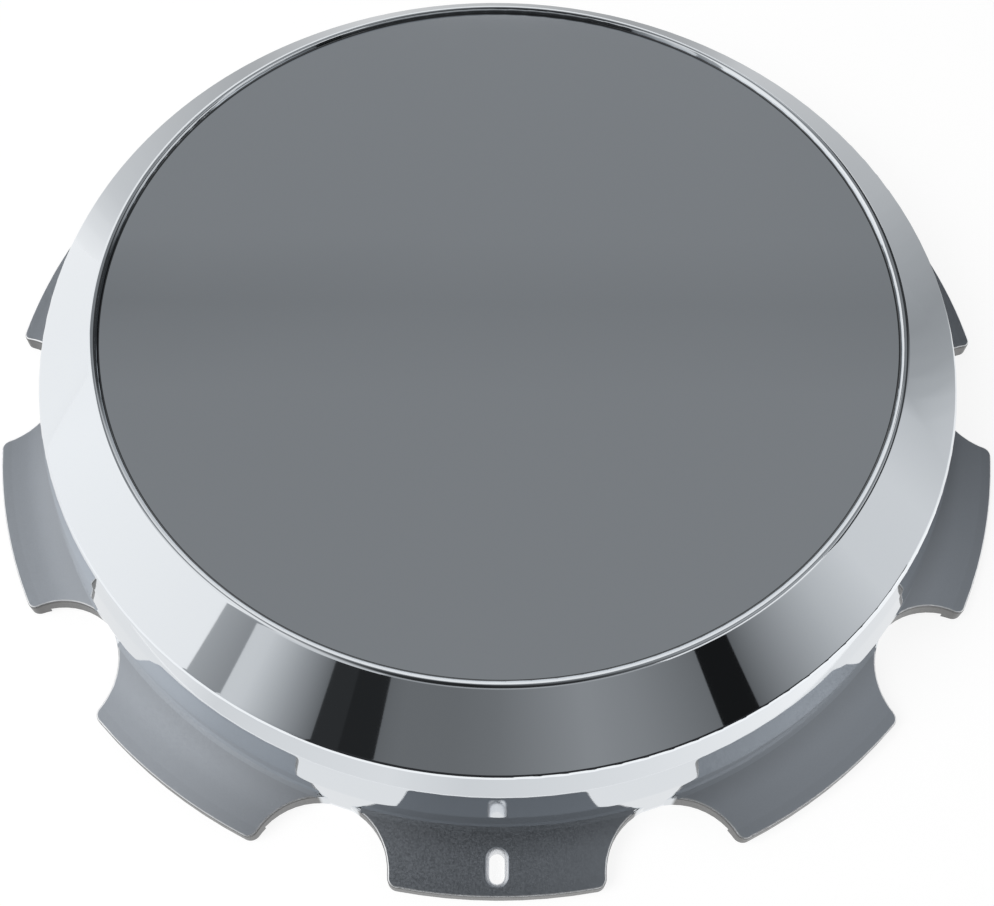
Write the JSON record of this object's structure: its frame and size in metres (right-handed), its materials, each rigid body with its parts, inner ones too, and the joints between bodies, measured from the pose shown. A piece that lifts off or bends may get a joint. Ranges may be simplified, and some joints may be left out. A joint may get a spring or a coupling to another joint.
{
  "type": "wheel centre cap",
  "caption": "Round chrome-plated wheel centre cap: flat face in a raised rim, conical bevel, flared wall, and a scalloped flange with tabs that lie between the lug nuts.",
  "frame": {"origin": "on the wheel's axis, in the plane where the tabs seat on the wheel", "axes": "+Z along the wheel's axis, out of the wheel; the slotted tab points to -Y"},
  "size_m": [0.2162, 0.2184, 0.0401],
  "materials": {
    "plated_abs": "bright chrome plating on moulded ABS, mirror bright on face, rim, bevel and wall, satin on flange"
  },
  "bodies": {
    "root": {"centre_cap": "plated_abs"}
  },
  "joints": []
}
